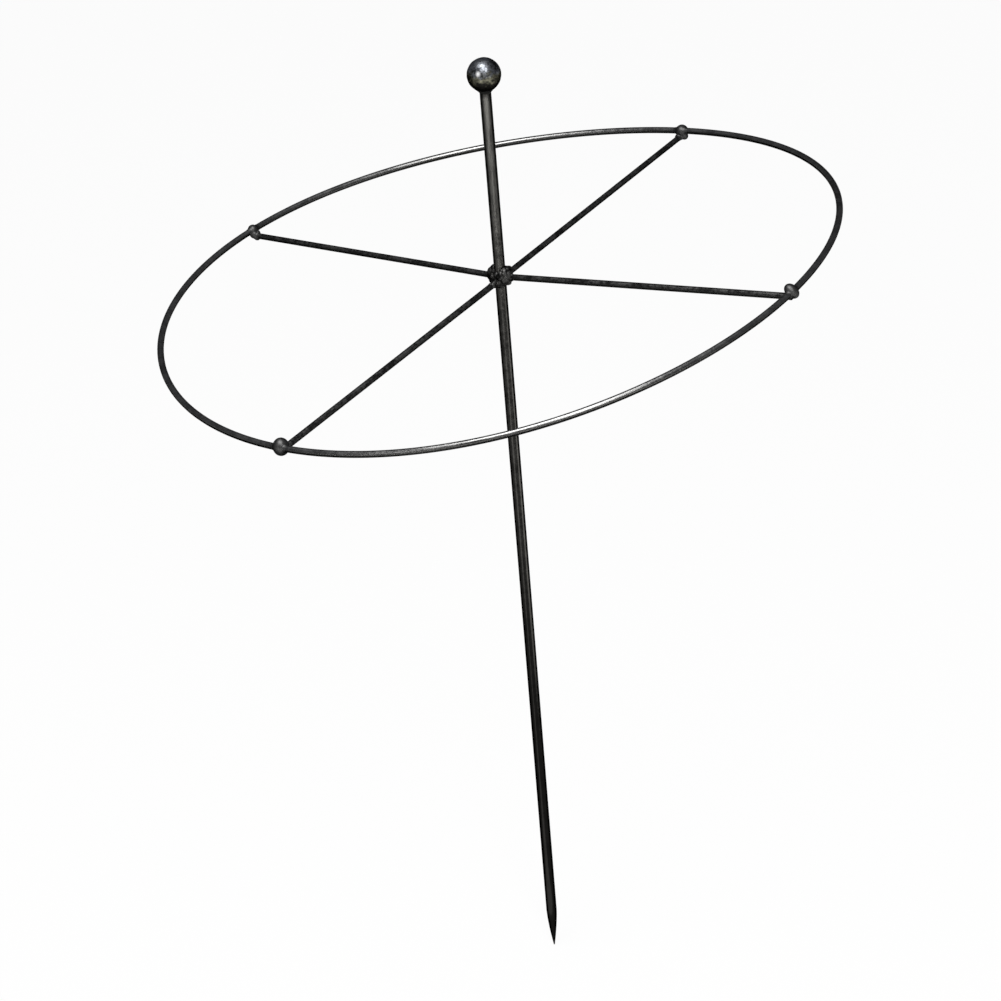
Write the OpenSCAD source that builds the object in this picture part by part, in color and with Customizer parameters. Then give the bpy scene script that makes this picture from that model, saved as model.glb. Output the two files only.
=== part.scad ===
// Plant support ring stake: a pointed steel rod with a ball on top, and a wire hoop that four
// spokes carry round it. All of it is welded, and the plant's stems grow up between the spokes.
// Millimetres, +Z up the rod. The origin is on the rod's axis, at the shoulder of its ground point.

/* [Stake] */
// Diameter of the rod
rod_d = 8; // [6:0.5:12]
// Height of the ball's centre above the shoulder of the ground point
ball_h = 727; // [650:1:1000]
// Length of the ground point, from its shoulder to its tip
point_len = 35; // [20:1:60]
// Diameter of the blunt tip
tip_d = 0.8; // [0.4:0.1:2]
// How gently the point leaves the rod: 1 is a plain cone
point_ease = 1.5; // [1:0.1:2]

/* [Ball finial] */
// Diameter of the ball
ball_d = 24.5; // [20:0.5:40]
// How far the rod's end goes up into the ball
socket_depth = 8; // [4:0.5:9]
// How far the neck weld runs down the rod from the ball
neck_drop = 3.2; // [1:0.1:5]
// How far the neck weld spreads on the ball, outside the rod
neck_spread = 3.5; // [1:0.1:4]

/* [Hoop] */
// Diameter of the hoop, at the middle of its wire
hoop_d = 500; // [300:5:700]
// Diameter of the hoop's wire
wire_d = 4.5; // [3:0.25:6]
// Height of the hoop's middle above the shoulder of the point
hoop_h = 570; // [520:1:620]
// Tilt of the hoop: its +X side stands higher
hoop_tilt = 8.6; // [0:0.1:12]
// How far the wire is pulled up and down out of its plane, twice in each turn
hoop_warp = 6.1; // [0:0.1:10]
// Direction of the warp's first high spot
warp_turn = -24.7; // [-45:0.1:45]
// How far the hoop is out of round: wider across X, narrower across Y
hoop_oval = 2.3; // [0:0.1:5]
// Offset of the hoop's middle from the rod, along X
hoop_shift = -2.2; // [-5:0.1:5]
// Gap between the two butted ends of the wire
seam_gap = 0.4; // [0.2:0.1:1]

/* [Spokes] */
// Diameter of the spokes' wire
spoke_d = 4; // [3:0.25:6]
// Height at which the left and right spokes meet the rod
upper_pair_h = 567.5; // [520:0.5:620]
// How much lower the near and far spokes meet the rod
pair_step = 2.2; // [0:0.1:4]
// How far a spoke's end runs on past the middle of the hoop's wire
spoke_end = 2; // [0:0.1:4]
// Direction of the left spoke
left_turn = 138.5; // [125:0.1:150]
// Direction of the near spoke
near_turn = 229.7; // [215:0.1:240]
// Direction of the far spoke
far_turn = 52.5; // [40:0.1:65]
// Direction of the right spoke
right_turn = -35.6; // [-50:0.1:-25]

/* [Welds] */
// Fit-up gap between two pieces that meet
fit = 0.06; // [0.02:0.01:0.2]
// Depth of the fused band round the rod, under the hub welds
fusion = 0.4; // [0.3:0.05:1]
// Height of the fused band
hub_weld_h = 15; // [12:0.5:24]
// How far the fused band stands out from the rod, between the hub welds
hub_weld_skirt = 0.3; // [0.2:0.05:1]
// Reach of a hub weld out along its spoke, from the rod's surface
hub_weld_reach = 5.2; // [4:0.1:9]
// Width of a hub weld, square to its spoke
hub_weld_w = 11; // [8:0.5:16]
// Size of the left bead: across the hoop's wire, along it and up
left_bead = [9.5, 9.5, 12.5]; // [8:0.1:20]
// Size of the near bead: across the hoop's wire, along it and up
near_bead = [12.5, 13, 13]; // [8:0.1:20]
// Size of the far bead: across the hoop's wire, along it and up
far_bead = [9.5, 9.5, 12]; // [8:0.1:20]
// Size of the right bead: across the hoop's wire, along it and up
right_bead = [11.5, 9.5, 11.5]; // [8:0.1:20]
// How far the left, near and right beads stand up from the middle of the wire
bead_lift = 0.5; // [0:0.1:1.5]
// How far the far bead hangs down from the middle of the wire
far_bead_drop = 1.5; // [0:0.1:2]
// How far the near bead lies from its spoke, along the wire
near_bead_shift = 4; // [0:0.1:4]
// How lumpy the weld metal is, as a share of its radius
lumps = 0.07; // [0:0.01:0.12]

/* [Hidden] */
$fn = 96;

black_steel = [0.13, 0.13, 0.12];
gunmetal = [0.24, 0.24, 0.25];
weld_metal = [0.18, 0.18, 0.17];

// Points on the flank of the ground point, and facets of the bent wire and of a weld
flank_points = 12;
stations = 120;
wire_sides = 16;
weld_columns = 20;
weld_rows = 10;
// A cutter runs past what it cuts by this much
past = 1;

rod_r = rod_d / 2;
tip_r = tip_d / 2;
ball_r = ball_d / 2;
wire_r = wire_d / 2;
spoke_r = spoke_d / 2;
socket_r = rod_r + fit;
rod_top = ball_h - ball_r + socket_depth;
lower_pair_h = upper_pair_h - pair_step;
hub_low = (upper_pair_h + lower_pair_h - hub_weld_h) / 2;
core_r = rod_r - fusion;
// A spoke lies under the hoop's wire, so their middle lines pass this far apart
lap = wire_r + spoke_r + fit;

function unit(v) = v / norm(v);

// The hoop's middle line, by direction from the rod
function hoop_radius(a) = hoop_d / 2 + hoop_oval * cos(2 * a);
function hoop_rise(a) = hoop_d / 2 * tan(hoop_tilt) * cos(a) + hoop_warp * cos(2 * (a - warp_turn));
function hoop_point(a) = [
    hoop_shift + hoop_radius(a) * cos(a),
    hoop_radius(a) * sin(a),
    hoop_h + hoop_rise(a)
];

// Axes of the wire at a direction: outward, along it and upward, each square to the others
nudge = 0.1;
function along(a) = unit(hoop_point(a + nudge) - hoop_point(a - nudge));
function outward(a) = unit([cos(a), sin(a), 0] - along(a) * (along(a) * [cos(a), sin(a), 0]));
function upward(a) = cross(outward(a), along(a));
function wire_axes(a) = [outward(a), along(a), upward(a)];

// The wire's ends are butted in the middle of the near bead
near_bead_turn = near_turn + near_bead_shift / hoop_d * 360 / PI;
seam_turn = seam_gap / hoop_d * 360 / PI;
station_step = (360 - seam_turn) / stations;
function station(k) = near_bead_turn + seam_turn / 2 + k * station_step;

// Directions that part each spoke's hub weld from the next
right_far = (right_turn + far_turn) / 2;
far_left = (far_turn + left_turn) / 2;
left_near = (left_turn + near_turn) / 2;
near_right = (near_turn + right_turn + 360) / 2;

// A spoke's middle line: its root on the rod's axis, and where it passes under the wire
function root(h) = [0, 0, h];
function crossing(a, h) =
    let (to_wire = unit(hoop_point(a) - root(h)))
        hoop_point(a) - lap * unit(cross(to_wire, along(a)));
function spoke_run(a, h) = unit(crossing(a, h) - root(h));

// Radius of the ground point at a share of the way from shoulder to tip
function flank(share) = rod_r - (rod_r - tip_r) * pow(share, point_ease);

// Height of the ball's underside at a distance from its axis
function ball_underside(r) = ball_h - sqrt(pow(ball_r + fit, 2) - r * r);

// Surface of a weld: an egg of the given size along the axes, waved into lumps
function wave(lat, lon, turn) =
    1 + lumps * (pow(cos(lat), 2) * sin(3 * lon + turn) + sin(2 * lat) * sin(2 * lon - turn) / 2);
function weld_point(size, axes, lat, lon, turn) =
    wave(lat, lon, turn) / 2 * (
        size.x * cos(lat) * cos(lon) * axes.x
        + size.y * cos(lat) * sin(lon) * axes.y
        + size.z * sin(lat) * axes.z
    );

// Stretch of the hoop's bent wire between two of its stations
module wire(first, last, r) {
    rows = last - first;
    points = [
        for (k = [first : last], j = [0 : wire_sides - 1])
            let (a = station(k), b = 360 * j / wire_sides)
                hoop_point(a) + r * (cos(b) * outward(a) + sin(b) * upward(a))
    ];
    first_end = [for (j = [wire_sides - 1 : -1 : 0]) j];
    last_end = [for (j = [0 : wire_sides - 1]) rows * wire_sides + j];
    walls = [
        for (k = [0 : rows - 1], j = [0 : wire_sides - 1])
            let (
                p = k * wire_sides + j,
                q = k * wire_sides + (j + 1) % wire_sides
            )
                each [[p, q, p + wire_sides], [q, q + wire_sides, p + wire_sides]]
    ];
    polyhedron(points, concat([first_end, last_end], walls));
}

// The hoop's wire near a direction, with its fit-up gap, to cut a bead that is as long as size.y
module wire_gap(a, size) {
    middle = round(((a - near_bead_turn + 360) % 360) / station_step);
    reach = ceil(size.y / (hoop_d * PI / stations)) + 1;
    wire(middle - reach, middle + reach, wire_r + fit);
}

// One spoke, its root shaped to the round of the rod. A gap round it makes it a cutter.
module spoke(a, h, gap = 0) {
    run = spoke_run(a, h);
    reach = norm(crossing(a, h) - root(h)) + spoke_end + gap;
    difference() {
        translate(root(h))
            rotate([0, acos(run.z), atan2(run.y, run.x)])
                cylinder(h = reach, d = spoke_d + 2 * gap);
        translate(root(h - rod_d))
            cylinder(h = 2 * rod_d, r = socket_r - gap);
    }
}

// Lump of weld metal about a point
module weld(middle, size, axes, turn) {
    n = weld_columns;
    rows = [
        for (i = [1 : weld_rows - 1], j = [0 : n - 1])
            middle + weld_point(size, axes, 180 * i / weld_rows - 90, 360 * j / n, turn)
    ];
    poles = [middle - size.z / 2 * axes.z, middle + size.z / 2 * axes.z];
    walls = [
        for (i = [0 : weld_rows - 3], j = [0 : n - 1])
            let (p = i * n + j, q = i * n + (j + 1) % n)
                each [[p, p + n, q], [q, p + n, q + n]]
    ];
    top_row = len(rows) - n;
    caps = [
        for (j = [0 : n - 1])
            let (k = (j + 1) % n)
                each [[len(rows), j, k], [top_row + j, len(rows) + 1, top_row + k]]
    ];
    polyhedron(concat(rows, poles), concat(walls, caps));
}

// Weld at a spoke's root, with the fused band under it, between two directions round the rod
module hub_weld(a, h, from, to) {
    radial = rod_r + hub_weld_reach;
    axes = [[cos(a), sin(a), 0], [-sin(a), cos(a), 0], [0, 0, 1]];
    size = [radial, hub_weld_w, hub_weld_h - pair_step - 2 * fit];
    color(weld_metal) difference() {
        intersection() {
            union() {
                weld(root(h) + radial / 2 * axes.x, size, axes, a);
                translate(root(hub_low + fit))
                    cylinder(h = hub_weld_h - 2 * fit, r = rod_r + hub_weld_skirt);
            }
            translate(root(hub_low))
                linear_extrude(hub_weld_h)
                    polygon([
                        [0, 0],
                        2 * radial * [cos(from), sin(from)],
                        3 * radial * [cos(a), sin(a)],
                        2 * radial * [cos(to), sin(to)]
                    ]);
        }
        translate(root(hub_low - past))
            cylinder(h = hub_weld_h + 2 * past, r = core_r + fit);
        spoke(a, h, fit);
    }
}

// Bead where a spoke passes under the hoop's wire, cut round both
module bead(a, h, size, lift, bead_turn) {
    axes = wire_axes(bead_turn);
    color(weld_metal) difference() {
        weld(hoop_point(bead_turn) + lift * axes.z, size, axes, a);
        wire_gap(bead_turn, size);
        spoke(a, h, fit);
    }
}

// Round bar with its ground point, and the fused band that the hub welds fill
module stake_rod() {
    flank_line = [for (i = [0 : flank_points]) let (s = i / flank_points) [flank(s), -s * point_len]];
    color(black_steel) difference() {
        union() {
            cylinder(h = rod_top, r = rod_r);
            rotate_extrude()
                polygon(concat([[0, 0]], flank_line, [[0, -point_len]]));
        }
        translate(root(hub_low))
            difference() {
                cylinder(h = hub_weld_h, r = rod_r + past);
                translate(root(-past))
                    cylinder(h = hub_weld_h + 2 * past, r = core_r);
            }
    }
}

// Ball with the blind socket that the rod's end fills
module ball_finial() {
    color(gunmetal) difference() {
        translate(root(ball_h))
            sphere(r = ball_r);
        translate(root(ball_h - ball_d))
            cylinder(h = rod_top + fit - ball_h + ball_d, r = socket_r);
    }
}

// Fillet in the corner between the rod and the underside of the ball
module ball_weld() {
    spread_r = rod_r + neck_spread;
    color(weld_metal) rotate_extrude() difference() {
        polygon([
            [socket_r, ball_underside(rod_r) - neck_drop],
            [spread_r, ball_underside(spread_r)],
            [socket_r, ball_underside(spread_r)]
        ]);
        translate([0, ball_h])
            circle(r = ball_r + fit);
    }
}

module ring_hoop() { color(black_steel) wire(0, stations, wire_r); }

module spoke_left() { color(black_steel) spoke(left_turn, upper_pair_h); }
module spoke_near() { color(black_steel) spoke(near_turn, lower_pair_h); }
module spoke_far() { color(black_steel) spoke(far_turn, lower_pair_h); }
module spoke_right() { color(black_steel) spoke(right_turn, upper_pair_h); }

module hub_weld_left() { hub_weld(left_turn, upper_pair_h, far_left, left_near); }
module hub_weld_near() { hub_weld(near_turn, lower_pair_h, left_near, near_right); }
module hub_weld_far() { hub_weld(far_turn, lower_pair_h, right_far, far_left); }
module hub_weld_right() { hub_weld(right_turn, upper_pair_h, near_right - 360, right_far); }

module bead_left() { bead(left_turn, upper_pair_h, left_bead, bead_lift, left_turn); }
module bead_near() { bead(near_turn, lower_pair_h, near_bead, bead_lift, near_bead_turn); }
module bead_far() { bead(far_turn, lower_pair_h, far_bead, -far_bead_drop, far_turn); }
module bead_right() { bead(right_turn, upper_pair_h, right_bead, bead_lift, right_turn); }

stake_rod();
ball_finial();
ball_weld();
ring_hoop();
spoke_left();
spoke_near();
spoke_far();
spoke_right();
hub_weld_left();
hub_weld_near();
hub_weld_far();
hub_weld_right();
bead_left();
bead_near();
bead_far();
bead_right();
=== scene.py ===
"""Looks of a plant support ring stake: coated bar and wire, lumpy welds and a hammered ball."""

import math

import bmesh
import bpy
from mathutils import Matrix, Vector, noise


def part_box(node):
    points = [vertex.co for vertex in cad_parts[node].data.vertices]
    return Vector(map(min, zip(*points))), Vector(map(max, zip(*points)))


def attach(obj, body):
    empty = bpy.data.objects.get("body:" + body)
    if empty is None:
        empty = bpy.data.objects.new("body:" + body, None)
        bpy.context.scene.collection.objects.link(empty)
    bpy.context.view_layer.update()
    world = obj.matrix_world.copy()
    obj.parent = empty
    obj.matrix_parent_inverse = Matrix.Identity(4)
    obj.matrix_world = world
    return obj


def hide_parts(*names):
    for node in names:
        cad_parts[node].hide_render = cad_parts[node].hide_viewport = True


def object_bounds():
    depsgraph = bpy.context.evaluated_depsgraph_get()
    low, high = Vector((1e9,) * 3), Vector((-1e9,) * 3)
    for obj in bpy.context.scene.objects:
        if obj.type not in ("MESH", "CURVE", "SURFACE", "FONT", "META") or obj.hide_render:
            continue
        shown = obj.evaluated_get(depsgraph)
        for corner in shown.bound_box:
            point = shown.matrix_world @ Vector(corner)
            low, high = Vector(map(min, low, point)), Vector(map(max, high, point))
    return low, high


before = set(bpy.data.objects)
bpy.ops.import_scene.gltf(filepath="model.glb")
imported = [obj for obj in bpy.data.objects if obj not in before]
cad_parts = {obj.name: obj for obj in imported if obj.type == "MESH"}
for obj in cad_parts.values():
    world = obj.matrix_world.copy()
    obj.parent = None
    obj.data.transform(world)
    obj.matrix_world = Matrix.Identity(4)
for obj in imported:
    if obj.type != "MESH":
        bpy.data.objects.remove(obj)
cad_low, cad_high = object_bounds()

MM = 0.001
UP = Vector((0, 0, 1))

# Edges that turn more than this stay sharp
SHARP = math.radians(35)

# Without a seed the sway of the hub welds' lumps would differ from run to run
SWAY_SEED = 5
noise.seed_set(SWAY_SEED)

# Sizes that the solids have too, in metres and radians
ROD_R = 4 * MM
POINT_LEN = 35 * MM
TIP_R = 0.4 * MM
POINT_EASE = 1.5
HOOP_R = 250 * MM
HOOP_H = 570 * MM
HOOP_TILT = math.radians(8.6)
HOOP_WARP = 6.1 * MM
WARP_TURN = math.radians(-24.7)
HOOP_OVAL = 2.3 * MM
HOOP_SHIFT = -2.2 * MM
WIRE_R = 2.25 * MM
SPOKE_R = 2 * MM
FIT = 0.06 * MM
UPPER_PAIR_H = 567.5 * MM
LOWER_PAIR_H = 565.3 * MM
SEAM_GAP = 0.4 * MM
NEAR_BEAD_SHIFT = 4 * MM

# Direction of each spoke, and the height at which it meets the rod
SPOKES = {
    "left": (math.radians(138.5), UPPER_PAIR_H),
    "near": (math.radians(229.7), LOWER_PAIR_H),
    "far": (math.radians(52.5), LOWER_PAIR_H),
    "right": (math.radians(-35.6), UPPER_PAIR_H),
}

# Places read from the solids
BALL_LOW, BALL_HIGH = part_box("ball_finial")
BALL_R = (BALL_HIGH.x - BALL_LOW.x) / 2
BALL_CENTRE = Vector((0, 0, BALL_HIGH.z - BALL_R))
ROD_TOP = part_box("stake_rod")[1].z
FLOOR_Z = cad_low.z

# Thickness of the coating on rod, hoop and ball, and on each spoke
COAT = 0.2 * MM
SPOKE_COAT = {"left": 0.28 * MM, "near": 0.36 * MM, "far": 0.22 * MM, "right": 0.38 * MM}

# The weld under the ball: how far it starts below the ball and spreads round the rod, and its foot
NECK_DROP = 2.0 * MM
NECK_SPREAD = 4.3 * MM
NECK_LOW = BALL_CENTRE.z - math.sqrt(BALL_R**2 - ROD_R**2) - NECK_DROP

# How far each spoke's cut end stops inside its bead, short of the hoop's wire
SPOKE_SHORT = {"left": 2.7 * MM, "near": 1.5 * MM, "far": 0.0, "right": 1.5 * MM}

# Lumps of each bead in millimetres: place and size, outward from the wire's middle, along the wire and
# upward, and how many degrees the lump leans outward and down
BEAD_LUMPS = {
    "left": [
        ((-0.15, -0.45, 0.4), (8.2, 8.0, 8.0), 0),
        ((-1.8, 0.5, -2.7), (7.4, 7.2, 7.2), 0),
        ((-4.4, 0.2, -4.9), (5.6, 5.4, 5.4), 0),
        ((-3.6, -1.5, -2.3), (4.8, 4.8, 4.8), 0),
    ],
    "near": [
        ((-1.4, 2.2, 0.1), (12.2, 11.8, 13.4), 0),
        ((-2.0, 4.6, -2.6), (5.0, 5.0, 5.0), 0),
    ],
    "far": [
        ((0.5, -0.9, -0.4), (10.2, 10.2, 10.2), 0),
        ((0.0, -2.8, -4.3), (6.2, 6.2, 6.2), 0),
        ((-3.4, 1.0, -4.4), (5.4, 5.4, 5.4), 0),
    ],
    "right": [
        ((0.3, -1.6, 1.0), (12.4, 9.2, 9.2), 40),
    ],
}

# Lumps of a hub weld in millimetres: place and size, outward from the rod's axis, aside and upward. First the
# core, the outer lobe and two lower lobes, ahead of the rod, then the two that close round the rod above
HUB_AHEAD = [
    ((4.6, 0, 1.5), (11.4, 12.4, 14.2)),
    ((8.0, 0.4, 1.0), (6.8, 6.6, 7.0)),
    ((5.0, 2.7, -2.4), (6.0, 5.8, 5.8)),
    ((5.4, -2.7, -2.2), (5.8, 6.2, 5.6)),
]
HUB_BESIDE = [
    ((4.5, 4.1, 4.6), (6.0, 6.2, 6.2)),
    ((4.6, -4.1, 4.3), (6.0, 6.2, 6.0)),
]

# How long the lumps ahead of the rod are on each side, as a share, and how far a lump sways, in millimetres
HUB_REACH = {"left": 1.0, "near": 0.66, "far": 1.0, "right": 1.0}
HUB_SWAY = 0.5

# How far weld metal runs out along a wire, in millimetres: from a hub weld and a bead along the spoke, and
# past a bead's first lump along the hoop
HUB_TOE = 15
SPOKE_TOE = 11
HOOP_TOE = 3.5

# How far each run-out stands above its wire at the start, and how far its end sinks into the wire
HUB_TOE_RISE = 1.4 * MM
SPOKE_TOE_RISE = 0.9 * MM
HOOP_TOE_RISE = 1.2 * MM
TOE_SINK = 0.1 * MM

# Weld metal's skin: the cells in which its lumps run together, and the size of its ripples and spatter
SKIN_VOXEL = 0.3 * MM
RIPPLE_CELL = 2.4 * MM
SPATTER_CELL = 2.8 * MM

# A painted highlight: the side of the ball where a pale bare spot stands in for a lamp's reflection, and how
# large the spot is
HIGHLIGHT_SIDE = Vector((-0.346, -0.851, 0.394))
HIGHLIGHT_R = 2.8 * MM

# The colour of painted shade, and the stretches of the rod darkened to it as painted shade, under the ball's
# weld
# and towards the foot: the height at which that starts, the height at which it is full, and its share there
PAINTED_SHADE = (0.006, 0.0058, 0.0054)
SHADED_NECK = (NECK_LOW - 5 * MM, NECK_LOW, 1.0)
SHADED_FOOT = (400 * MM, 200 * MM, 0.75)

# Scale of the finishes' patterns, per metre
BAR_MOTTLE = 420.0
BAR_LINES = 900.0
BAR_PEEL = 620.0
WELD_MOTTLE = 300.0
WELD_PEEL = 800.0
BALL_MOTTLE = 640.0
BALL_PEEL = 1100.0
BALL_CLOUDS = 260.0

# Depth of the relief in a coating's skin
SKIN_DEPTH = 0.1 * MM


def hoop_point(turn):
    """The middle of the hoop's wire in a direction from the rod."""
    radius = HOOP_R + HOOP_OVAL * math.cos(2 * turn)
    rise = HOOP_R * math.tan(HOOP_TILT) * math.cos(turn) + HOOP_WARP * math.cos(2 * (turn - WARP_TURN))
    return Vector((HOOP_SHIFT + radius * math.cos(turn), radius * math.sin(turn), HOOP_H + rise))


def wire_axes(turn):
    """Axes of the hoop's wire: outward, along it and upward."""
    nudge = 0.002
    along = (hoop_point(turn + nudge) - hoop_point(turn - nudge)).normalized()
    radial = Vector((math.cos(turn), math.sin(turn), 0))
    outward = (radial - along * along.dot(radial)).normalized()
    return outward, along, outward.cross(along)


def spoke_line(turn, height):
    """A spoke's middle line, from the rod's axis to where it passes under the hoop's wire."""
    root = Vector((0, 0, height))
    crossing = hoop_point(turn)
    below = (crossing - root).normalized().cross(wire_axes(turn)[1]).normalized()
    return root, crossing - (WIRE_R + SPOKE_R + FIT) * below


def axes_matrix(centre, x, y, z):
    """Matrix that takes the origin to a centre, and the axes to the given ones."""
    turned = Matrix((x, y, z)).transposed()
    return Matrix.Translation(centre) @ turned.to_4x4()


# Node groups that the finishes share


def new_group(name, values, output):
    """An empty shader group that takes a vector and values and gives one value, with its end nodes."""
    group = bpy.data.node_groups.new(name, "ShaderNodeTree")
    group.interface.new_socket("Vector", in_out="INPUT", socket_type="NodeSocketVector")
    for value in values:
        group.interface.new_socket(value, in_out="INPUT", socket_type="NodeSocketFloat")
    group.interface.new_socket(output, in_out="OUTPUT", socket_type="NodeSocketFloat")
    return group, group.nodes.new("NodeGroupInput"), group.nodes.new("NodeGroupOutput")


def noise_node(tree, vector, scale, detail=3.0):
    """A noise texture on a vector. The scale is a number, or a socket that gives it."""
    made = tree.nodes.new("ShaderNodeTexNoise")
    made.inputs["Detail"].default_value = detail
    made.inputs["Roughness"].default_value = 0.55
    tree.links.new(vector, made.inputs["Vector"])
    if isinstance(scale, (int, float)):
        made.inputs["Scale"].default_value = scale
    else:
        tree.links.new(scale, made.inputs["Scale"])
    return made.outputs["Fac"]


def ranged(tree, value, low, high, to_low=0.0, to_high=1.0):
    """A value that runs smoothly from one range to another."""
    made = tree.nodes.new("ShaderNodeMapRange")
    made.interpolation_type = "SMOOTHSTEP"
    for socket, number in (("From Min", low), ("From Max", high), ("To Min", to_low), ("To Max", to_high)):
        made.inputs[socket].default_value = number
    tree.links.new(value, made.inputs["Value"])
    return made.outputs["Result"]


def math_node(tree, operation, first, second):
    """Two sockets or numbers put together."""
    made = tree.nodes.new("ShaderNodeMath")
    made.operation = operation
    for socket, value in zip(made.inputs, (first, second)):
        if isinstance(value, (int, float)):
            socket.default_value = value
        else:
            tree.links.new(value, socket)
    return made.outputs[0]


def coat_mottle_group():
    """Uneven thickness of the coating: broad clouds and small blotches, from 0 to 1."""
    cloud_scale = 0.17
    lowest = 0.36
    highest = 0.64
    group, given, out = new_group("coat_mottle", ["Scale"], "Mottle")
    blotches = noise_node(group, given.outputs["Vector"], given.outputs["Scale"], detail=4.0)
    broad = math_node(group, "MULTIPLY", given.outputs["Scale"], cloud_scale)
    clouds = noise_node(group, given.outputs["Vector"], broad, detail=2.0)
    mean = math_node(group, "MULTIPLY", math_node(group, "ADD", blotches, clouds), 0.5)
    group.links.new(ranged(group, mean, lowest, highest), out.inputs["Mottle"])
    return group


def orange_peel_group():
    """Skin of the coating: soft dimples with a little grit, as a height."""
    softness = 0.8
    grit_scale = 4.0
    grit_height = 0.35
    group, given, out = new_group("orange_peel", ["Scale"], "Height")
    peel = group.nodes.new("ShaderNodeTexVoronoi")
    peel.feature = "SMOOTH_F1"
    peel.inputs["Smoothness"].default_value = softness
    group.links.new(given.outputs["Vector"], peel.inputs["Vector"])
    group.links.new(given.outputs["Scale"], peel.inputs["Scale"])
    fine = math_node(group, "MULTIPLY", given.outputs["Scale"], grit_scale)
    grit = math_node(
        group, "MULTIPLY", noise_node(group, given.outputs["Vector"], fine, detail=2.0), grit_height
    )
    height = math_node(group, "ADD", peel.outputs["Distance"], grit)
    group.links.new(height, out.inputs["Height"])
    return group


def draw_lines_group():
    """Lengthwise lines that the die leaves on drawn bar, from 0 to 1. The vector's X runs along it."""
    lowest = 0.35
    highest = 0.65
    group, given, out = new_group("draw_lines", ["Along", "Across"], "Lines")
    parts = group.nodes.new("ShaderNodeSeparateXYZ")
    group.links.new(given.outputs["Vector"], parts.inputs["Vector"])
    stretched = group.nodes.new("ShaderNodeCombineXYZ")
    for axis, scale in (("X", "Along"), ("Y", "Across"), ("Z", "Across")):
        scaled = math_node(group, "MULTIPLY", parts.outputs[axis], given.outputs[scale])
        group.links.new(scaled, stretched.inputs[axis])
    lines = noise_node(group, stretched.outputs["Vector"], 1.0, detail=2.0)
    group.links.new(ranged(group, lines, lowest, highest), out.inputs["Lines"])
    return group


COAT_MOTTLE = coat_mottle_group()
ORANGE_PEEL = orange_peel_group()
DRAW_LINES = draw_lines_group()


# Finishes


def placed(tree, group, vector, **values):
    """A group set in a material, with its vector and its own values. Gives its output."""
    made = tree.nodes.new("ShaderNodeGroup")
    made.node_tree = group
    tree.links.new(vector, made.inputs["Vector"])
    for socket, value in values.items():
        made.inputs[socket].default_value = value
    return made.outputs[0]


def stored(tree, name):
    """A value that the piece stores: upper, how far it faces upward, or pit, how deep it lies."""
    made = tree.nodes.new("ShaderNodeAttribute")
    made.attribute_name = name
    return made.outputs["Fac"]


def mixed_values(tree, first, second, share):
    """A value between two, by a fixed share of the second."""
    first_part = math_node(tree, "MULTIPLY", first, 1 - share)
    return math_node(tree, "ADD", first_part, math_node(tree, "MULTIPLY", second, share))


def mixed_colour(tree, share, first, second):
    """A colour between two by a share. Each is a colour or a socket that gives one."""
    made = tree.nodes.new("ShaderNodeMix")
    made.data_type = "RGBA"
    for name, colour in (("A", first), ("B", second)):
        socket = next(s for s in made.inputs if s.name == name and s.type == "RGBA")
        if isinstance(colour, tuple):
            socket.default_value = (*colour, 1)
        else:
            tree.links.new(colour, socket)
    tree.links.new(share, made.inputs["Factor"])
    return next(s for s in made.outputs if s.type == "RGBA")


def bumped(tree, shader, height, strength):
    """Bumps the shader's normal by a height."""
    made = tree.nodes.new("ShaderNodeBump")
    made.inputs["Strength"].default_value = strength
    made.inputs["Distance"].default_value = SKIN_DEPTH
    tree.links.new(height, made.inputs["Height"])
    tree.links.new(made.outputs["Normal"], shader.inputs["Normal"])


def new_finish(name):
    """A material with a bare Principled shader: the material, its tree and that shader."""
    finish = bpy.data.materials.new(name)
    finish.use_nodes = True
    return finish, finish.node_tree, finish.node_tree.nodes["Principled BSDF"]


def dark_metal(shader, edge):
    """Sets a dark lacquered metal whose edges stay dark where they turn away."""
    shader.inputs["Metallic"].default_value = 1.0
    shader.inputs["Specular IOR Level"].default_value = 0.1
    shader.inputs["Specular Tint"].default_value = (edge, edge, edge, 1)


def coated_bar(name, pale_coat, dark_coat, roughness, edge, dash, specks=None, shaded_stretches=()):
    """Near-black coating on drawn bar or wire, darker along some stretches as painted shade.

    It reads the piece's own grain, so that lines run along it. Where specks are given, the colour darkens
    toward the underside as painted shade, and they say how pale the coat stays at the least on the upper
    side."""
    line_share = 0.35
    line_height = 0.5
    shares = (0.1, 0.9)
    shade_to_light = (0.0, 0.68)
    finish, tree, shader = new_finish(name)
    dark_metal(shader, edge)
    grain = tree.nodes.new("ShaderNodeAttribute")
    grain.attribute_name = "grain"
    vector = grain.outputs["Vector"]
    mottle = placed(tree, COAT_MOTTLE, vector, Scale=BAR_MOTTLE)
    lines = placed(tree, DRAW_LINES, vector, Along=1 / dash, Across=BAR_LINES)
    peel = placed(tree, ORANGE_PEEL, vector, Scale=BAR_PEEL)
    share = mixed_values(tree, mottle, lines, line_share)
    # Painted shade: the colour darkens toward the underside, by how far the surface faces upward
    if specks:
        share = ranged(tree, share, *shares, specks, 1.0)
        share = math_node(tree, "MULTIPLY", share, ranged(tree, stored(tree, "upper"), *shade_to_light))
    colour = mixed_colour(tree, share, dark_coat, pale_coat)
    along = tree.nodes.new("ShaderNodeSeparateXYZ")
    tree.links.new(vector, along.inputs["Vector"])
    # Painted shade: stretches of the bar darkened along its length
    for start, end, most in shaded_stretches:
        dark = ranged(tree, along.outputs["X"], start, end, 0.0, most)
        colour = mixed_colour(tree, dark, colour, PAINTED_SHADE)
    tree.links.new(colour, shader.inputs["Base Color"])
    tree.links.new(ranged(tree, mottle, 0.0, 1.0, *roughness), shader.inputs["Roughness"])
    height = math_node(tree, "ADD", peel, math_node(tree, "MULTIPLY", lines, line_height))
    bumped(tree, shader, height, strength=0.2)
    return finish


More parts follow.
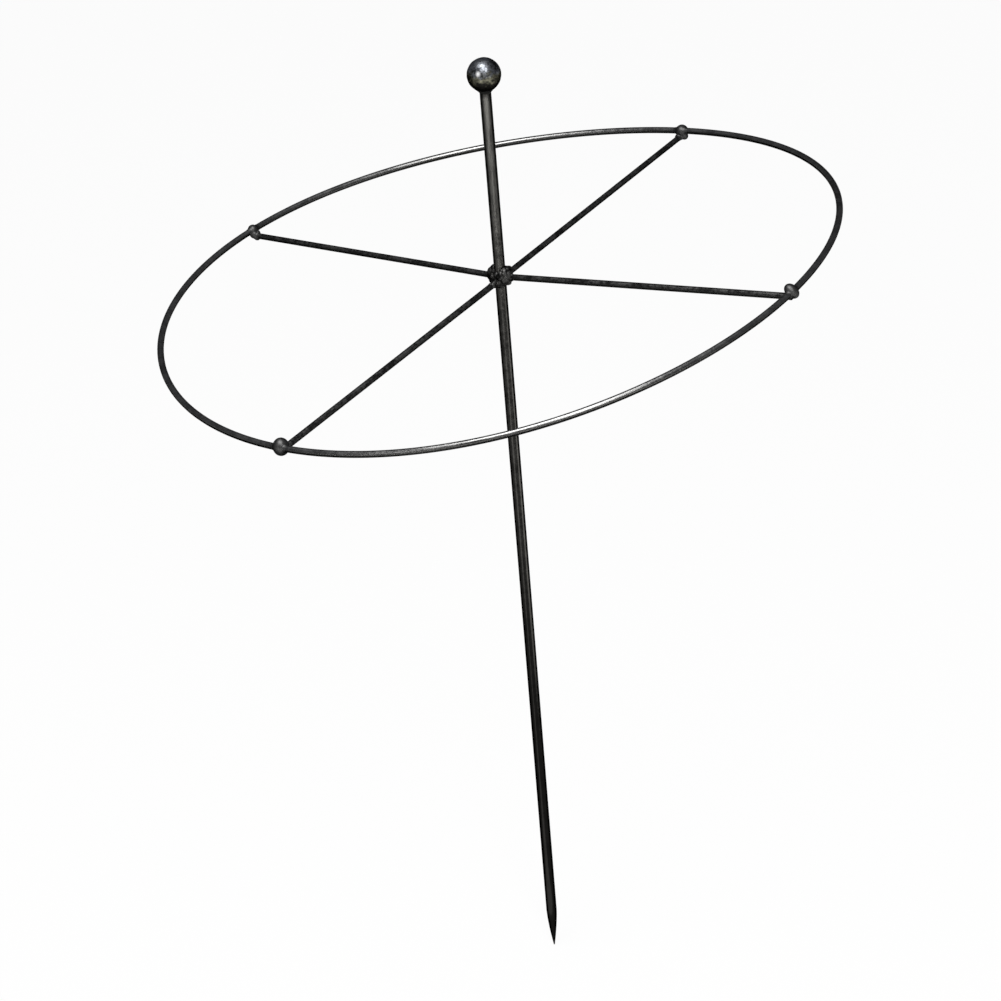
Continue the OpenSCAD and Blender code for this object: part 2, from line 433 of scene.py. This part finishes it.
def coated_weld(name, pale_coat, dark_coat, roughness):
    """The same coating over weld metal, darker on its underside and in the pits between spatter drops as
    painted shade.
    """
    lit_side_share = 0.75
    shade_to_light = (-0.1, 0.8)
    pit_depths = (0.08, 0.42)
    left_in_pits = 0.1
    finish, tree, shader = new_finish(name)
    dark_metal(shader, edge=0.2)
    vector = tree.nodes.new("ShaderNodeTexCoord").outputs["Object"]
    mottle = placed(tree, COAT_MOTTLE, vector, Scale=WELD_MOTTLE)
    peel = placed(tree, ORANGE_PEEL, vector, Scale=WELD_PEEL)
    # Painted shade: paler on the upper side, darker on the underside
    upper = ranged(tree, stored(tree, "upper"), *shade_to_light)
    share = mixed_values(tree, mottle, upper, lit_side_share)
    # Painted shade: darker in the pits between spatter drops
    proud = ranged(tree, stored(tree, "pit"), *pit_depths, 1.0, left_in_pits)
    share = math_node(tree, "MULTIPLY", share, proud)
    tree.links.new(mixed_colour(tree, share, dark_coat, pale_coat), shader.inputs["Base Color"])
    tree.links.new(ranged(tree, mottle, 0.0, 1.0, *roughness), shader.inputs["Roughness"])
    bumped(tree, shader, peel, strength=0.12)
    return finish


def coated_ball():
    """Grey coating over the ball's dimples.

    It is darker and warmer towards its lower side, as painted shade and a painted warm reflection, and a pale
    bare spot is a painted highlight."""
    steel_colours = ((0.018, 0.0194, 0.0216), (0.19, 0.199, 0.217))
    warm_reflection_colours = ((0.008, 0.0078, 0.0064), (0.1, 0.0965, 0.07))
    highlight_colour = (0.55, 0.55, 0.555)
    highlight_core = 0.1 * HIGHLIGHT_R
    roughness = (0.46, 0.38)
    reflection_to_steel = (0.05, 0.5)
    shade_to_reflection = (-0.35, 0.2)
    unevenness = 1.3
    finish, tree, shader = new_finish("hammered_ball")
    dark_metal(shader, edge=0.12)
    vector = tree.nodes.new("ShaderNodeTexCoord").outputs["Object"]
    mottle = placed(tree, COAT_MOTTLE, vector, Scale=BALL_MOTTLE)
    peel = placed(tree, ORANGE_PEEL, vector, Scale=BALL_PEEL)
    clouds = math_node(tree, "SUBTRACT", noise_node(tree, vector, BALL_CLOUDS), 0.5)
    uneven = math_node(tree, "MULTIPLY", clouds, unevenness)
    # Painted shade and painted warm reflection: warmer and darker where the surface faces downward
    height = math_node(tree, "ADD", stored(tree, "upper"), uneven)
    warm_reflection = mixed_colour(tree, mottle, *warm_reflection_colours)
    steel = mixed_colour(tree, mottle, *steel_colours)
    tint = mixed_colour(tree, ranged(tree, height, *reflection_to_steel), warm_reflection, steel)
    coat = mixed_colour(tree, ranged(tree, height, *shade_to_reflection), PAINTED_SHADE, tint)
    # Painted highlight: a pale bare spot where a lamp's reflection falls
    away = tree.nodes.new("ShaderNodeVectorMath")
    away.operation = "DISTANCE"
    away.inputs[1].default_value = BALL_CENTRE + HIGHLIGHT_SIDE.normalized() * BALL_R
    tree.links.new(vector, away.inputs[0])
    painted_highlight = ranged(tree, away.outputs["Value"], HIGHLIGHT_R, highlight_core)
    colour = mixed_colour(tree, painted_highlight, coat, highlight_colour)
    tree.links.new(colour, shader.inputs["Base Color"])
    tree.links.new(ranged(tree, mottle, 0.0, 1.0, *roughness), shader.inputs["Roughness"])
    bumped(tree, shader, peel, strength=0.15)
    return finish


ROD_FINISH = coated_bar(
    "stake_finish",
    pale_coat=(0.0232, 0.0226, 0.021),
    dark_coat=(0.01, 0.0098, 0.0092),
    roughness=(0.16, 0.24),
    edge=0.1,
    dash=17 * MM,
    shaded_stretches=(SHADED_NECK, SHADED_FOOT),
)
SPOKE_FINISH = coated_bar(
    "spoke_finish",
    pale_coat=(0.115, 0.1145, 0.112),
    dark_coat=(0.008, 0.008, 0.0078),
    roughness=(0.3, 0.4),
    edge=0.15,
    dash=4 * MM,
    specks=0.25,
)
HOOP_FINISH = coated_bar(
    "hoop_finish",
    pale_coat=(0.188, 0.187, 0.184),
    dark_coat=(0.009, 0.009, 0.0088),
    roughness=(0.26, 0.34),
    edge=0.2,
    dash=4 * MM,
    specks=0.75,
)
HUB_FINISH = coated_weld(
    "hub_finish", pale_coat=(0.076, 0.0752, 0.073), dark_coat=(0.005, 0.0049, 0.0047), roughness=(0.4, 0.5)
)
BEAD_FINISH = coated_weld(
    "bead_finish", pale_coat=(0.068, 0.0676, 0.067), dark_coat=(0.008, 0.008, 0.0079), roughness=(0.42, 0.5)
)
BALL_FINISH = coated_ball()


# Pieces


def finished(name, bm, material, node):
    """Makes the shape a piece that rides on the part and stands for one of its solids.

    It stores how far each vertex faces upward, for the finish."""
    bmesh.ops.recalc_face_normals(bm, faces=bm.faces)
    bm.normal_update()
    upper = bm.verts.layers.float.new("upper")
    for vert in bm.verts:
        vert[upper] = vert.normal.z
    for edge in bm.edges:
        edge.smooth = edge.calc_face_angle(0) < SHARP
    mesh = bpy.data.meshes.new(name)
    bm.to_mesh(mesh)
    bm.free()
    mesh.materials.append(material)
    mesh.shade_smooth()
    piece = bpy.data.objects.new(name, mesh)
    bpy.context.scene.collection.objects.link(piece)
    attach(piece, "root")
    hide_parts(node)


def set_grain(bm, grain_of):
    """Stores where each vertex lies along, across and up its bar, for the finish."""
    layer = bm.verts.layers.float_vector.new("grain")
    for vert in bm.verts:
        vert[layer] = grain_of(vert.co)


def swell(co, cell, octaves):
    """Random unevenness at a place, from about -1 to 1, in bumps of a cell's size and finer ones."""
    fall = 0.6
    finer = 2.0
    return noise.fractal(co / cell, fall, finer, octaves)


def lathed(bm, profile, steps):
    """A closed shape turned about the rod's axis from a line of radius and height."""
    verts = [bm.verts.new((radius, 0, height)) for radius, height in profile]
    edges = [bm.edges.new(pair) for pair in zip(verts, verts[1:])]
    bmesh.ops.spin(
        bm, geom=verts + edges, cent=(0, 0, 0), axis=(0, 0, 1), angle=math.tau, steps=steps, use_merge=True
    )
    bmesh.ops.remove_doubles(bm, verts=bm.verts, dist=0.001 * MM)


def stake_bar():
    """The rod with its ground point."""
    flank_points = 16
    shank_rings = 60
    edge = 0.3 * MM
    flank = []
    for i in range(flank_points + 1):
        share = 1 - i / flank_points
        flank.append((ROD_R - (ROD_R - TIP_R) * share**POINT_EASE, -share * POINT_LEN))
    shank = [(ROD_R, ROD_TOP * i / shank_rings) for i in range(1, shank_rings)]
    crown = [(ROD_R, ROD_TOP - edge), (ROD_R - edge, ROD_TOP), (0, ROD_TOP)]
    bm = bmesh.new()
    lathed(bm, [(0, -POINT_LEN), *flank, *shank, *crown], steps=48)
    for vert in bm.verts:
        outward = Vector((vert.co.x, vert.co.y, 0))
        vert.co += outward / ROD_R * COAT
    set_grain(bm, lambda co: Vector((co.z, co.x, co.y)))
    finished("stake_bar", bm, ROD_FINISH, "stake_rod")


def hoop_wire():
    """The hoop, one bent wire whose ends are butted in the near bead."""
    wire_sides = 28
    steps = 360
    start = SPOKES["near"][0] + (NEAR_BEAD_SHIFT + SEAM_GAP / 2) / HOOP_R
    span = math.tau - SEAM_GAP / HOOP_R
    section = Matrix.Translation((HOOP_R, 0, 0)) @ Matrix.Rotation(math.pi / 2, 4, "X")
    bm = bmesh.new()
    made = bmesh.ops.create_circle(
        bm, cap_ends=True, segments=wire_sides, radius=WIRE_R + COAT, matrix=section
    )
    geom = made["verts"] + list(bm.edges) + list(bm.faces)
    bmesh.ops.spin(bm, geom=geom, cent=(0, 0, 0), axis=(0, 0, 1), angle=span, steps=steps)
    layer = bm.verts.layers.float_vector.new("grain")
    for vert in bm.verts:
        swung = math.atan2(vert.co.y, vert.co.x) % math.tau
        across = math.hypot(vert.co.x, vert.co.y) - HOOP_R
        outward, _, upward = wire_axes(start + swung)
        vert[layer] = Vector((swung * HOOP_R, across, vert.co.z))
        vert.co = hoop_point(start + swung) + across * outward + vert.co.z * upward
    finished("hoop_wire", bm, HOOP_FINISH, "ring_hoop")


def spoke_wire(name):
    """A spoke from inside the rod into its bead, its cut end a little rounded."""
    rounding = 0.5 * MM
    close = 0.01 * MM
    turn, height = SPOKES[name]
    root, crossing = spoke_line(turn, height)
    run = (crossing - root).normalized()
    length = (crossing - root).length - SPOKE_SHORT[name]
    radius = SPOKE_R + SPOKE_COAT[name]
    bm = bmesh.new()
    bmesh.ops.create_cone(
        bm, cap_ends=True, segments=32, radius1=radius, radius2=radius, depth=length,
        matrix=Matrix.Translation((0, 0, length / 2)),
    )
    sides = [edge for edge in bm.edges if edge.calc_length() > length / 2]
    bmesh.ops.subdivide_edges(bm, edges=sides, cuts=40)
    rim = [edge for edge in bm.edges if all(vert.co.z > length - close for vert in edge.verts)]
    bmesh.ops.bevel(
        bm, geom=rim, offset=rounding, affect="EDGES", segments=3, profile=0.5, material=-1
    )
    # The turn sets each spoke's grain apart from the others'
    set_grain(bm, lambda co: Vector((co.z + turn, co.x, -co.y)))
    side = run.cross(UP).normalized()
    bmesh.ops.transform(bm, matrix=axes_matrix(root, side, run.cross(side), run), verts=bm.verts)
    finished(name + "_spoke", bm, SPOKE_FINISH, "spoke_" + name)


def ball():
    """The ball, hammered all over: small and broad marks, each a shallow bowl."""
    marks = ((1.9 * MM, 0.06 * MM), (5.0 * MM, 0.1 * MM))
    bowl_r = 0.75
    mean = 0.6
    bm = bmesh.new()
    bmesh.ops.create_icosphere(bm, subdivisions=7, radius=BALL_R + COAT)
    for vert in bm.verts:
        dent = 0.0
        for size, depth in marks:
            nearest = noise.voronoi(vert.co / size)[0][0]
            dent += depth * (min(1.0, nearest / bowl_r) ** 2 - mean)
        vert.co *= 1 + dent / BALL_R
    bmesh.ops.translate(bm, verts=bm.verts, vec=BALL_CENTRE)
    finished("hammered_ball", bm, BALL_FINISH, "ball_finial")


def lump(bm, centre, axes, size):
    """An egg of weld metal, its size given along the axes."""
    place = axes_matrix(centre, *axes) @ Matrix.Diagonal((*[s / 2 for s in size], 1))
    bmesh.ops.create_icosphere(bm, subdivisions=3, radius=1, matrix=place)


def toe(bm, start, end, start_r, end_r):
    """Weld metal that thins out along a wire."""
    run = (end - start).normalized()
    side = run.orthogonal().normalized()
    bmesh.ops.create_cone(
        bm, cap_ends=True, segments=24, radius1=start_r, radius2=end_r, depth=(end - start).length,
        matrix=axes_matrix((start + end) / 2, side, run.cross(side), run),
    )


def skinned(name, bm):
    """Lumps of weld metal run together into one skin."""
    rough = bpy.data.meshes.new(name + "_lumps")
    bm.to_mesh(rough)
    bm.free()
    lumps = bpy.data.objects.new(name + "_lumps", rough)
    bpy.context.scene.collection.objects.link(lumps)
    remesh = lumps.modifiers.new("skin", "REMESH")
    remesh.mode = "VOXEL"
    remesh.voxel_size = SKIN_VOXEL
    bpy.context.view_layer.update()
    skin = bpy.data.meshes.new_from_object(lumps.evaluated_get(bpy.context.evaluated_depsgraph_get()))
    joined = bmesh.new()
    joined.from_mesh(skin)
    bpy.data.objects.remove(lumps)
    for unused in (rough, skin):
        bpy.data.meshes.remove(unused)
    return joined


def fused(name, bm, node, finish, ripple, passes, spatter=0.0):
    """Makes lumps of weld metal one piece: run together, smoothed, rippled and strewn with spatter.

    It stores how deep each vertex lies between the drops of spatter, for the finish."""
    drop_top = 0.35
    bm = skinned(name, bm)
    for _ in range(passes):
        bmesh.ops.smooth_vert(
            bm, verts=bm.verts, factor=0.5, use_axis_x=True, use_axis_y=True, use_axis_z=True
        )
    bm.normal_update()
    pits = bm.verts.layers.float.new("pit")
    for vert in bm.verts:
        rise = ripple * swell(vert.co, RIPPLE_CELL, 3)
        if spatter:
            nearest = noise.voronoi(vert.co / SPATTER_CELL)[0][0]
            vert[pits] = min(1.0, nearest) ** 2
            rise += spatter * (drop_top - vert[pits])
        vert.co += vert.normal * rise
    finished(name, bm, finish, node)


def bead(name):
    """The bead where a spoke passes under the hoop's wire, with a run out along each wire."""
    turn, height = SPOKES[name]
    root, crossing = spoke_line(turn, height)
    outward, along, upward = wire_axes(turn)
    middle = hoop_point(turn)
    bm = bmesh.new()
    for offset, size, lean in BEAD_LUMPS[name]:
        place = middle + (offset[0] * outward + offset[1] * along + offset[2] * upward) * MM
        turned = Matrix.Rotation(math.radians(lean), 3, along)
        axes = (turned @ outward, along, turned @ upward)
        lump(bm, place, axes, [s * MM for s in size])
    (_, first_along, _), (_, first_width, _), _ = BEAD_LUMPS[name][0]
    middle_turn = turn + first_along * MM / HOOP_R
    reach = (first_width / 2 + HOOP_TOE) * MM
    for way in (-1, 1):
        run_out = hoop_point(middle_turn + way * reach / HOOP_R)
        toe(bm, hoop_point(middle_turn), run_out, WIRE_R + HOOP_TOE_RISE, WIRE_R - TOE_SINK)
    inward = (root - crossing).normalized()
    start = crossing + inward * SPOKE_SHORT[name]
    toe(bm, start, crossing + inward * SPOKE_TOE * MM, SPOKE_R + SPOKE_TOE_RISE, SPOKE_R - TOE_SINK)
    fused(name + "_bead", bm, "bead_" + name, BEAD_FINISH, ripple=0.015 * MM, passes=14)


def small_lumps(turn):
    """Small lumps strewn over the outer half of a hub weld, in millimetres as the larger ones are.

    They lie on an egg ahead of the rod, at even steps of height, each in another direction and size."""
    count = 6
    lowest = -3.4
    height = 6.8
    egg_out = 4.4
    egg_up = 0.6
    egg_r = 4.3
    half_height_squared = 45
    golden_step = 0.618034
    size_step = 0.754878
    smallest = 4.0
    size_range = 1.2
    lumps = []
    for i in range(count):
        swing = math.radians(-90 + 180 * ((i * golden_step + turn) % 1.0))
        lift = lowest + height * (i + 0.5) / count
        out = egg_r * math.sqrt(1 - (lift - egg_up) ** 2 / half_height_squared)
        size = smallest + size_range * ((i * size_step) % 1.0)
        lumps.append(((egg_out + out * math.cos(swing), out * math.sin(swing), lift), (size, size, size)))
    return lumps


def hub_weld(name):
    """The weld at a spoke's root: a core, lobes round it, small lumps over them and a run along the spoke."""
    turn, height = SPOKES[name]
    root, crossing = spoke_line(turn, height)
    radial = Vector((math.cos(turn), math.sin(turn), 0))
    axes = (radial, UP.cross(radial), UP)
    reach = Vector((HUB_REACH[name], 1, 1))
    ahead = HUB_AHEAD + small_lumps(turn)
    lumps = [(Vector(offset) * reach, Vector(size) * reach) for offset, size in ahead]
    lumps += [(Vector(offset), Vector(size)) for offset, size in HUB_BESIDE]
    bm = bmesh.new()
    for offset, size in lumps:
        sway = noise.noise_vector(offset + Vector((turn, 0, 0))) * HUB_SWAY
        place = (offset + sway) * MM
        middle = root + sum((a * p for a, p in zip(axes, place)), Vector())
        lump(bm, middle, axes, size * MM)
    run = (crossing - root).normalized()
    toe(bm, root + run * ROD_R, root + run * HUB_TOE * MM, SPOKE_R + HUB_TOE_RISE, SPOKE_R - TOE_SINK)
    fused(
        name + "_hub_weld", bm, "hub_weld_" + name, HUB_FINISH,
        ripple=0.04 * MM, passes=9, spatter=1.0 * MM,
    )


def neck_weld():
    """The weld between the rod and the underside of the ball, nearly a cone."""
    steps = 12
    hollow = 1.15
    lumpiness = 0.25 * MM
    lump_size = 3 * MM
    inside = ROD_R - 0.5 * MM
    spread_r = ROD_R + NECK_SPREAD
    top = BALL_CENTRE.z - math.sqrt(BALL_R**2 - spread_r**2)
    crown = top + 1.5 * MM
    flank = []
    for i in range(steps + 1):
        share = i / steps
        flank.append((ROD_R + COAT + NECK_SPREAD * share**hollow, NECK_LOW + (top - NECK_LOW) * share))
    outline = [(inside, NECK_LOW), *flank, (spread_r - 1 * MM, crown), (inside, crown), (inside, NECK_LOW)]
    bm = bmesh.new()
    lathed(bm, outline, steps=64)
    for vert in bm.verts:
        if math.hypot(vert.co.x, vert.co.y) > ROD_R:
            outward = Vector((vert.co.x, vert.co.y, 0)).normalized()
            vert.co += outward * lumpiness * swell(vert.co, lump_size, 2)
    finished("neck_weld", bm, HUB_FINISH, "ball_weld")


stake_bar()
hoop_wire()
ball()
neck_weld()
for side_name in SPOKES:
    spoke_wire(side_name)
    hub_weld(side_name)
    bead(side_name)


# Floor, light and camera

FLOOR_COLOUR = (0.75, 0.75, 0.735, 1)
FLOOR_WHITE = 0.95
FLOOR_HALF = 30
WORLD_COLOUR = (0.158, 0.163, 0.174, 1)
WHITE_LIGHT = (1, 1, 1)
WARM_LIGHT = (1, 0.98, 0.92)

# Height of the lamps that lie near the floor and shine up, and the two ways that lamps face straight
LOW_Z = -0.02
UPWARD = (0, 0, 1)
DOWNWARD = (0, 0, -1)

# Each lamp's place, the way it faces, the way its length lies, its width and length, radiance and colour
LAMPS = {
    "overhead": ((-0.32, -0.5, 2.3), (0.15, 0.25, -1), (0, 1, 0), (0.9, 1.2), 13, WHITE_LIGHT),
    "front_top": ((0.42, -2.3, 2.3), DOWNWARD, (-0.22, 1, 0), (0.4, 2.8), 14.5, WHITE_LIGHT),
    "left_window": ((-1.41, -1.48, 1.55), (0.64, 0.67, -0.37), (0, 0, 1), (0.4, 0.4), 8, WHITE_LIGHT),
    "low_front": ((-0.05, -1.7, LOW_Z), UPWARD, (0, 1, 0), (5.0, 0.3), 27, WHITE_LIGHT),
    "front_card": ((0.1, -1.9, 0.3), (0, 1, 0), (0, 0, 1), (3.0, 0.55), 2.1, WARM_LIGHT),
    "left_strip": ((-1.19, -1.07, LOW_Z), UPWARD, (-0.743, -0.669, 0), (1.0, 0.6), 4, WHITE_LIGHT),
    "right_strip": ((1.31, -0.92, LOW_Z), UPWARD, (0.818, -0.575, 0), (1.0, 0.6), 3.5, WHITE_LIGHT),
    "low_left": ((-0.34, -0.825, LOW_Z), UPWARD, (-0.037, -1, 0), (0.35, 0.65), 3.8, WHITE_LIGHT),
    "low_right": ((0.76, -0.308, LOW_Z), UPWARD, (0.927, -0.375, 0), (0.32, 0.85), 7.2, WHITE_LIGHT),
    "foot_left": ((-0.135, -0.268, LOW_Z), UPWARD, (-0.449, -0.893, 0), (0.1, 0.55), 2.5, WHITE_LIGHT),
}


def floor_finish():
    """Pale floor that shows white behind the part and in its metal, and keeps a faint shadow."""
    finish, tree, shader = new_finish("pale_floor")
    shader.inputs["Base Color"].default_value = FLOOR_COLOUR
    shader.inputs["Roughness"].default_value = 1.0
    shader.inputs["Specular IOR Level"].default_value = 0.0
    white = tree.nodes.new("ShaderNodeEmission")
    rays = tree.nodes.new("ShaderNodeLightPath")
    seen = math_node(tree, "MAXIMUM", rays.outputs["Is Camera Ray"], rays.outputs["Is Glossy Ray"])
    seen = math_node(tree, "MAXIMUM", seen, rays.outputs["Is Transmission Ray"])
    share = math_node(tree, "MULTIPLY", seen, FLOOR_WHITE)
    both = tree.nodes.new("ShaderNodeMixShader")
    tree.links.new(share, both.inputs["Fac"])
    tree.links.new(shader.outputs["BSDF"], both.inputs[1])
    tree.links.new(white.outputs["Emission"], both.inputs[2])
    tree.links.new(both.outputs["Shader"], tree.nodes["Material Output"].inputs["Surface"])
    return finish


def floor():
    """A wide flat floor at the tip of the stake."""
    place = Matrix.Translation((0, 0, FLOOR_Z))
    bm = bmesh.new()
    bmesh.ops.create_grid(bm, x_segments=1, y_segments=1, size=FLOOR_HALF, matrix=place)
    mesh = bpy.data.meshes.new("floor")
    bm.to_mesh(mesh)
    bm.free()
    mesh.materials.append(floor_finish())
    made = bpy.data.objects.new("floor", mesh)
    bpy.context.scene.collection.objects.link(made)


def softbox(name, place, facing, along, size, radiance, colour):
    """A rectangular lamp at an even radiance, out of the camera's sight."""
    width, length = size
    lamp = bpy.data.lights.new(name, "AREA")
    lamp.shape = "RECTANGLE"
    lamp.size = width
    lamp.size_y = length
    lamp.energy = radiance * math.pi * width * length
    lamp.color = colour
    back = -Vector(facing).normalized()
    across = Vector(along).cross(back).normalized()
    made = bpy.data.objects.new(name, lamp)
    made.matrix_world = axes_matrix(place, across, back.cross(across), back)
    made.visible_camera = False
    bpy.context.scene.collection.objects.link(made)


def world_light():
    """An even dim light from all round."""
    world = bpy.data.worlds.new("studio")
    world.use_nodes = True
    world.node_tree.nodes["Background"].inputs["Color"].default_value = WORLD_COLOUR
    bpy.context.scene.world = world


def camera():
    """The photograph's view: its place, its turns and its focal length on a square frame."""
    place = Vector((0, -2404.8, 1692.7)) * MM
    yaw = math.radians(-0.324)
    pitch = math.radians(28.6245)
    roll = math.radians(4.788)
    focal_px = 3600
    frame_px = 1001
    sensor = 36.0
    forward = Vector((math.sin(yaw) * math.cos(pitch), math.cos(yaw) * math.cos(pitch), -math.sin(pitch)))
    right = Vector((math.cos(yaw), -math.sin(yaw), 0))
    down = forward.cross(right)
    across = math.cos(roll) * right + math.sin(roll) * down
    upright = math.sin(roll) * right - math.cos(roll) * down
    data = bpy.data.cameras.new("camera")
    data.sensor_width = sensor
    data.lens = sensor * focal_px / frame_px
    made = bpy.data.objects.new("camera", data)
    made.matrix_world = axes_matrix(place, across, upright, -forward)
    bpy.context.scene.collection.objects.link(made)
    bpy.context.scene.camera = made


floor()
for lamp_name, lamp_facts in LAMPS.items():
    softbox(lamp_name, *lamp_facts)
world_light()
camera()
bpy.context.scene.view_settings.view_transform = "Standard"
